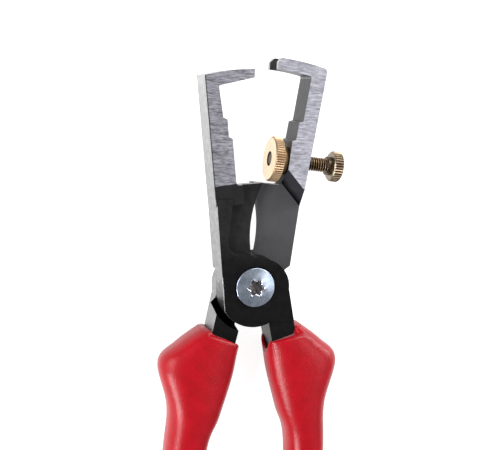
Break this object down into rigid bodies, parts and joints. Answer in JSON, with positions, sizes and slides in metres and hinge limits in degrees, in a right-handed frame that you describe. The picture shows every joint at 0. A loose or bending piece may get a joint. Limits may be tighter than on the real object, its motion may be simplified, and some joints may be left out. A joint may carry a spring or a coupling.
{
  "type": "wire stripper",
  "caption": "Hand wire stripper: hooked jaws with vee notches on a screwed lap joint, brass adjusting screw with lock nut, red sleeve grips.",
  "frame": {"origin": "on the pivot axis, on the flat rear face of the joint", "axes": "+Y from the pivot to the jaw tips, +X to the right seen from the front, +Z out of the front face, along the pivot axis"},
  "size_m": [0.0516, 0.161, 0.0142],
  "materials": {
    "arm_steel": "brushed bare steel jaws and edges, black oxide on the joint faces",
    "zinc_screw": "bright zinc plate",
    "spring_wire": "drawn wire",
    "dark_brass": "aged, darkened brass",
    "nut_brass": "turned and knurled brass, pale face",
    "red_sleeve": "soft satin vinyl"
  },
  "bodies": {
    "front_half": {"front_arm": "arm_steel", "right_grip": "red_sleeve"},
    "rear_half": {"rear_arm": "arm_steel", "pivot_screw": "zinc_screw", "left_grip": "red_sleeve", "opening_spring": "spring_wire"},
    "screw_stud": {"adjusting_stud": "dark_brass"},
    "screw_knob": {"adjusting_knob": "dark_brass"},
    "nut": {"lock_nut": "nut_brass"}
  },
  "joints": [
    {"name": "pivot", "type": "hinge", "parent": "front_half", "child": "rear_half", "pos_m": [0, 0, 0.005], "axis": [0, 0, 1], "range_deg": [0, 11], "stiffness_Nm_per_rad": 0.4, "springref_deg": -20.05, "deforming": ["opening_spring"]},
    {"name": "screw_advance", "type": "slide", "parent": "rear_half", "child": "screw_stud", "axis": [-0.9964, 0.0845, 0], "range_m": [0, 0.0042]},
    {"name": "screw_turn", "type": "hinge", "parent": "screw_stud", "child": "screw_knob", "pos_m": [0.00797, 0.03488, 0.005], "axis": [-0.9964, 0.0845, 0], "range_deg": [0, 2160]},
    {"name": "nut_turn", "type": "hinge", "parent": "rear_half", "child": "nut", "pos_m": [0.00797, 0.03488, 0.005], "axis": [0.9964, -0.0845, 0], "range_deg": [0, 51]}
  ],
  "couplings": [
    {"joint": "screw_turn", "follows": "screw_advance", "rad_per_m": 8975.9}
  ]
}
